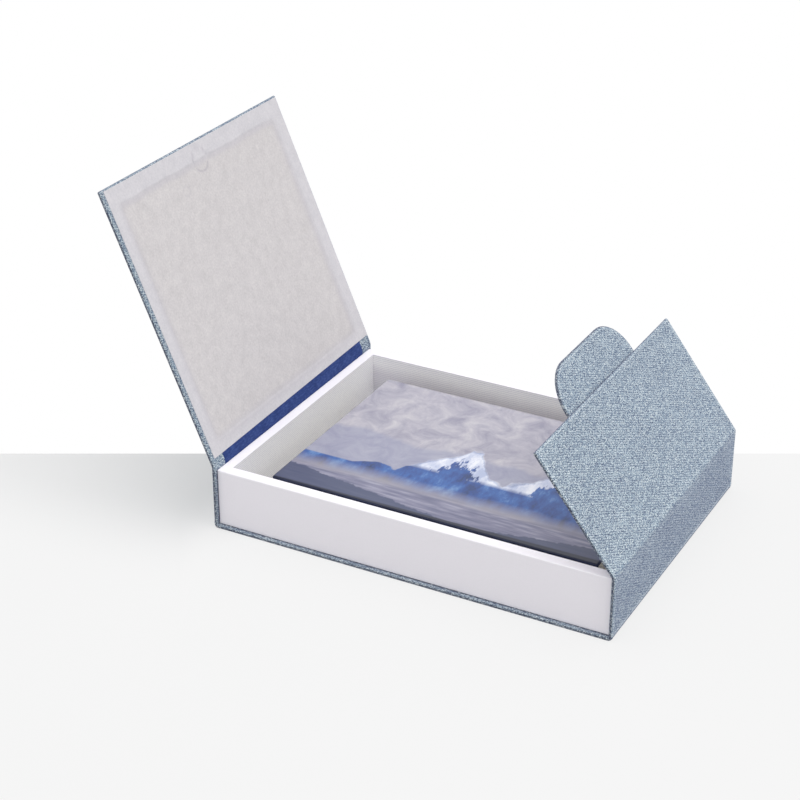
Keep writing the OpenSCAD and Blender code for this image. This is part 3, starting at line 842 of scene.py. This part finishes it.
def leaf_stack(name, low, high, count, material):
    """Stack of album leaves, made by Geometry Nodes: each is a card of its own, a little out of line."""
    group = bpy.data.node_groups.new(name, "GeometryNodeTree")
    group.interface.new_socket("Geometry", in_out="INPUT", socket_type="NodeSocketGeometry")
    wanted = {
        "Length": high.x - low.x, "Width": high.y - low.y, "Height": high.z - low.z, "Shift": 0.35 * MM,
        "Share of card": 0.86,
    }
    for label in wanted:
        group.interface.new_socket(label, in_out="INPUT", socket_type="NodeSocketFloat")
    group.interface.new_socket("Leaves", in_out="INPUT", socket_type="NodeSocketInt")
    group.interface.new_socket("Geometry", in_out="OUTPUT", socket_type="NodeSocketGeometry")
    wanted["Leaves"] = count
    given = add(group, "NodeGroupInput").outputs
    pitch = add(group, MATH, (given["Height"], given["Leaves"]), operation="DIVIDE")
    thick = add(group, MATH, (pitch, given["Share of card"]), operation="MULTIPLY")
    size = add(group, COMBINE, (given["Length"], given["Width"], thick))
    card = add(group, "GeometryNodeMeshCube", {"Size": size})
    half_pitch = add(group, MATH, (pitch, 0.5), operation="MULTIPLY")
    line = add(group, "GeometryNodeMeshLine", {
        "Count": given["Leaves"], "Start Location": add(group, COMBINE, (0.0, 0.0, half_pitch)),
        "Offset": add(group, COMBINE, (0.0, 0.0, pitch)),
    })
    back = add(group, MATH, (given["Shift"], -1.0), operation="MULTIPLY")
    shake = add(group, "FunctionNodeRandomValue", {
        "Min": add(group, COMBINE, (back, back)), "Max": add(group, COMBINE, (given["Shift"],)), "Seed": 7,
    }, data_type="FLOAT_VECTOR")
    moved = add(group, "GeometryNodeSetPosition", {"Geometry": line, "Offset": shake})
    cards = add(group, "GeometryNodeInstanceOnPoints", {"Points": moved, "Instance": card})
    real = add(group, "GeometryNodeRealizeInstances", {"Geometry": cards})
    painted = add(group, "GeometryNodeSetMaterial", {"Geometry": real, "Material": material})
    add(group, "NodeGroupOutput", {0: painted})
    piece = bpy.data.objects.new(name, bpy.data.meshes.new(name))
    bpy.context.scene.collection.objects.link(piece)
    stack = piece.modifiers.new("stack", "NODES")
    stack.node_group = group
    for item in group.interface.items_tree:
        if item.in_out == "INPUT" and item.name in wanted:
            stack[item.identifier] = wanted[item.name]
    plain_mesh(piece)
    for vertex in piece.data.vertices:
        vertex.co += Vector(((low.x + high.x) / 2, (low.y + high.y) / 2, low.z))
    return piece


LEAF_COUNT = 26
block = leaf_stack("album_leaves", *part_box("album_pages"), LEAF_COUNT, pages)
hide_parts("album_pages")
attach(block, "album")

# The picture: a satin laminated print of clouds, far hills, blue rock under snow, mist, a rippled lake,
# wooded shores and, along the bound side, a dark band of painted shade. Each is laid over the one before it.
picture, tree, shader = start_finish("satin_laminated_print", 0.3, 0.5)
place = add(tree, COORDINATES).outputs["Object"]
print_low, print_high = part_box("album_print")
to_corner = {"Vector": place, "Location": (-print_low.x, -print_low.y, 0.0)}
shifted = add(tree, MAPPING, to_corner).outputs[0]
across, up = add(tree, XYZ, (shifted,)).outputs[:2]


def stretched(scale, size_mm, detail, roughness=0.5, turn=0.0):
    """Blotches of a size on the picture, drawn out by a scale and turned."""
    drawn = add(tree, MAPPING, {"Vector": shifted, "Scale": scale, "Rotation": (0, 0, turn)})
    return add(tree, NOISE, {
        "Vector": drawn, "Scale": scale_for(size_mm), "Detail": detail, "Roughness": roughness,
    })


def over(below, colour, edge, soft_mm=1.0, strength=1.0):
    """Lays a colour where edge, in metres, is above zero, with a soft edge."""
    cover = add(tree, MATH, (edge, 0.5 / (soft_mm * MM), 0.5), operation="MULTIPLY_ADD", use_clamp=True)
    cover = add(tree, MATH, (cover, strength), operation="MULTIPLY")
    return add(tree, MIX, (cover, below, colour), data_type="RGBA")


def under(line):
    """How far a point of the picture lies under a line, in metres."""
    return add(tree, MATH, (line, up), operation="SUBTRACT")


def ridge(base_mm, swing_mm, length_mm, seed):
    """Height of a made-up skyline along the picture, in metres."""
    lane = add(tree, COMBINE, (across, seed))
    line = add(tree, NOISE, {"Vector": lane, "Scale": scale_for(length_mm), "Detail": 4.0})
    return add(tree, MATH, (line, 2 * swing_mm * MM, (base_mm - swing_mm) * MM), operation="MULTIPLY_ADD")


clouds = add(tree, NOISE, {
    "Vector": shifted, "Scale": 42.0, "Detail": 6.0, "Roughness": 0.68, "Distortion": 0.7,
})
view = add(tree, RAMP, (clouds,), [(0.32, "#8E8C9F"), (0.5, "#A9A6B3"), (0.68, "#C0BDC3")])
SUN, SUN_R = (0.078, 0.122, 0.0), 9 * MM
from_sun = add(tree, VECTOR, (shifted, SUN), operation="DISTANCE")
sun = add(tree, MATH, (SUN_R, from_sun), operation="SUBTRACT")
view = over(view, linear("#E2B9A2"), sun, 14.0, 0.85)
view = over(view, linear("#8388A6"), under(ridge(104, 22, 52, 0.31)), 3.0, 0.55)

# Sharp peaks: two zigzags of different lengths, bent and roughened, that grow from the left.
bend = add(tree, NOISE, {"Vector": shifted, "Scale": scale_for(40.0), "Detail": 3.0})
bent = add(tree, MATH, (bend, 30 * MM, across), operation="MULTIPLY_ADD")
tall = add(tree, MATH, (bent, 47 * MM), operation="PINGPONG")
low_peaks = add(tree, MATH, (bent, 17 * MM), operation="ADD")
low_peaks = add(tree, MATH, (low_peaks, 19 * MM), operation="PINGPONG")
crags = add(tree, NOISE, {"Vector": shifted, "Scale": scale_for(12.0), "Detail": 4.0, "Roughness": 0.6})
peaks = weighted(tree, (tall, 1.25), (low_peaks, 0.7), (crags, 16 * MM))
grown = add(tree, MATH, (across, 11.0, -0.5), operation="MULTIPLY_ADD", use_clamp=True)
below_peaks = under(add(tree, MATH, (peaks, grown, 52 * MM), operation="MULTIPLY_ADD"))
facets = stretched((1.0, 0.45, 1.0), 15.0, 5.0, 0.65, 0.5)
blues = [(0.32, "#122A56"), (0.46, "#1D458C"), (0.56, "#2A5CA3"), (0.7, "#6A8FC0")]
rock = add(tree, RAMP, (facets,), blues)
view = over(view, rock, below_peaks, 0.8)
streaks = stretched((1.0, 0.3, 1.0), 6.0, 4.0, 0.7)
snow_depth = add(tree, MATH, (streaks, 78 * MM, -16 * MM), operation="MULTIPLY_ADD")
snow = add(tree, MATH, (snow_depth, below_peaks), operation="SUBTRACT")
snow = add(tree, MATH, (snow, below_peaks), operation="MINIMUM")
SNOW_LINE = 70 * MM
above_snow_line = add(tree, MATH, (up, SNOW_LINE), operation="SUBTRACT")
snow = add(tree, MATH, (snow, above_snow_line), operation="MINIMUM")
snow_colour = add(tree, RAMP, (facets,), [(0.4, "#B4BEDA"), (0.6, "#EDEEF5")])
view = over(view, snow_colour, snow, 3.0, 0.92)
mist = linear("#9C98A0")
view = over(view, mist, under(ridge(41, 9, 60, 0.13)), 9.0, 0.95)

# The lake lies in a bay: its wooded shores rise to both sides of the middle.
ripples = stretched((0.12, 1.0, 1.0), 3.0, 4.0)
water = add(tree, RAMP, (ripples,), [(0.3, "#585C7C"), (0.5, "#74748F"), (0.7, "#9797AC")])
view = over(view, water, under(ridge(32, 6, 110, 0.57)), 4.0, 0.9)
BAY_MIDDLE = 170 * MM
from_middle = add(tree, MATH, (across, BAY_MIDDLE), operation="SUBTRACT")
from_middle = add(tree, MATH, (from_middle,), operation="ABSOLUTE")
trees = add(tree, MATH, (ridge(0, 4, 45, 0.83), ridge(0, 3, 4, 0.29)), operation="ADD")
trees = add(tree, MATH, (from_middle, 0.17, trees), operation="MULTIPLY_ADD")
view = over(view, linear("#3B4566"), under(trees), 0.8, 0.9)
# Painted shade: a navy band along the bound side, wider towards the right, stands for the shade on the
# album's rounded front edge.
shade_band = add(tree, MATH, (across, 0.014, 1.4 * MM), operation="MULTIPLY_ADD")
view = over(view, linear("#141B36"), under(shade_band), 0.8)
tooth = add(tree, NOISE, {"Vector": place, "Scale": scale_for(1.2)})
bump = add(tree, BUMP, {"Height": tooth, "Distance": 0.02 * MM, "Strength": 0.3})
feed(tree, shader, {"Base Color": view, "Normal": bump, "Coat Weight": 0.15, "Coat Roughness": 0.25})
PRINT_T = print_high.z - print_low.z
solid_board(
    "album_front_print", "album_print", (0.8 * MM,) * 4,
    [(MM, 0.0), (0.3 * MM, 0.0), (0.1 * MM, 0.06 * MM), (0.0, 0.14 * MM), (0.0, PRINT_T), (MM, PRINT_T)],
    picture,
)


# Stage
# A plain pale table, with painted light that glows on it towards the right and the front, that ends in a
# straight line behind the box, a white background beyond it, soft light that is strongest overhead, and one
# large weak lamp.

floor_mesh = bpy.data.meshes.new("floor")
floor_mesh.from_pydata([(-8, -8, 0), (8, -8, 0), (8, 8, 0), (-8, 8, 0)], [], [(0, 1, 2, 3)])
floor = bpy.data.objects.new("floor", floor_mesh)
bpy.context.scene.collection.objects.link(floor)
WHITE = (1.0, 1.0, 1.0, 1.0)
# The table ends this far out, in metres, in the direction that the camera looks over it.
TABLE_WAY, TABLE_END = (-0.4720, 0.8816, 0.0), 0.093
floor_finish, tree, shader = start_finish("pale_table", 0.8, 0.2)
place = add(tree, COORDINATES).outputs["Object"]
cloud = add(tree, NOISE, {"Vector": place, "Scale": scale_for(300.0)})
feed(tree, shader, {"Base Color": add(tree, RAMP, (cloud,), [(0.3, "#D5D5D5"), (0.7, "#D7D7D7")])})
away = add(tree, VECTOR, (place, TABLE_WAY), operation="DOT_PRODUCT")
beyond = add(tree, MATH, (away, TABLE_END), operation="GREATER_THAN")
seen = add(tree, "ShaderNodeLightPath").outputs["Is Camera Ray"]
white = add(tree, "ShaderNodeEmission", {"Color": WHITE, "Strength": 1.0})
dim = add(tree, "ShaderNodeBsdfDiffuse", {"Color": linear("#B4B4B4")})
# Painted light: mixed in by position, the table glows towards the right and the front and so loses its shade
# there, while the shadow at the left stays.
painted_glow = add(tree, "ShaderNodeEmission", {"Color": linear("#F6F6F6")})
x, y, _ = add(tree, XYZ, (place,)).outputs
painted_light_ramps = [
    add(tree, "ShaderNodeMapRange", (value, start, end, 0.25, 0.85), interpolation_type="SMOOTHSTEP")
    for value, start, end in ((x, -0.22, -0.14), (y, -0.12, -0.24))
]
painted_light = add(tree, MATH, painted_light_ramps, operation="MAXIMUM")
pale = add(tree, "ShaderNodeMixShader", (painted_light, shader, painted_glow))
table = add(tree, "ShaderNodeMixShader", (seen, dim, pale))
open_end = add(tree, MATH, (beyond, seen), operation="MULTIPLY")
joined = add(tree, "ShaderNodeMixShader", (open_end, table, white))
feed(tree, tree.nodes["Material Output"], {"Surface": joined})
paint(floor, floor_finish)

world = bpy.data.worlds.new("studio")
bpy.context.scene.world = world
world.use_nodes = True
tree = world.node_tree
rays = add(tree, "ShaderNodeLightPath").outputs
seen = add(tree, MATH, (rays["Is Glossy Ray"], rays["Is Transmission Ray"]), operation="MAXIMUM")
seen = add(tree, MATH, (rays["Is Camera Ray"], seen), operation="MAXIMUM")
rise = add(tree, XYZ, (add(tree, COORDINATES).outputs["Generated"],)).outputs[2]
overhead = add(tree, MATH, (rise, 0.0), operation="MAXIMUM")
overhead = add(tree, MATH, (overhead, 1.574, 0.253), operation="MULTIPLY_ADD")
soft = add(tree, "ShaderNodeBackground", {"Color": WHITE, "Strength": overhead})
backdrop = add(tree, "ShaderNodeBackground", {"Color": WHITE, "Strength": 1.0})
joined = add(tree, "ShaderNodeMixShader", (seen, soft, backdrop))
feed(tree, tree.nodes["World Output"], {"Surface": joined})

lamp_data = bpy.data.lights.new("side_lamp", "AREA")
lamp_data.shape = "DISK"
lamp_data.size = 1.4
lamp_data.energy = 7.8
lamp = bpy.data.objects.new("side_lamp", lamp_data)
lamp.location = (2.2, -0.3, 0.9)
lamp.rotation_euler = (-lamp.location).to_track_quat("-Z", "Y").to_euler()
bpy.context.scene.collection.objects.link(lamp)

# The camera stands and looks as the photo's did, from a fit to the box's edges and corners.
camera_data = bpy.data.cameras.new("camera")
camera_data.lens = 89.62
camera_data.sensor_width = 36
camera = bpy.data.objects.new("camera", camera_data)
camera.location = (0.62524, -1.30581, 0.85435)
camera.rotation_euler = (math.radians(62.51), 0, math.radians(28.16))
bpy.context.scene.collection.objects.link(camera)
bpy.context.scene.camera = camera
bpy.context.scene.view_settings.view_transform = "Standard"
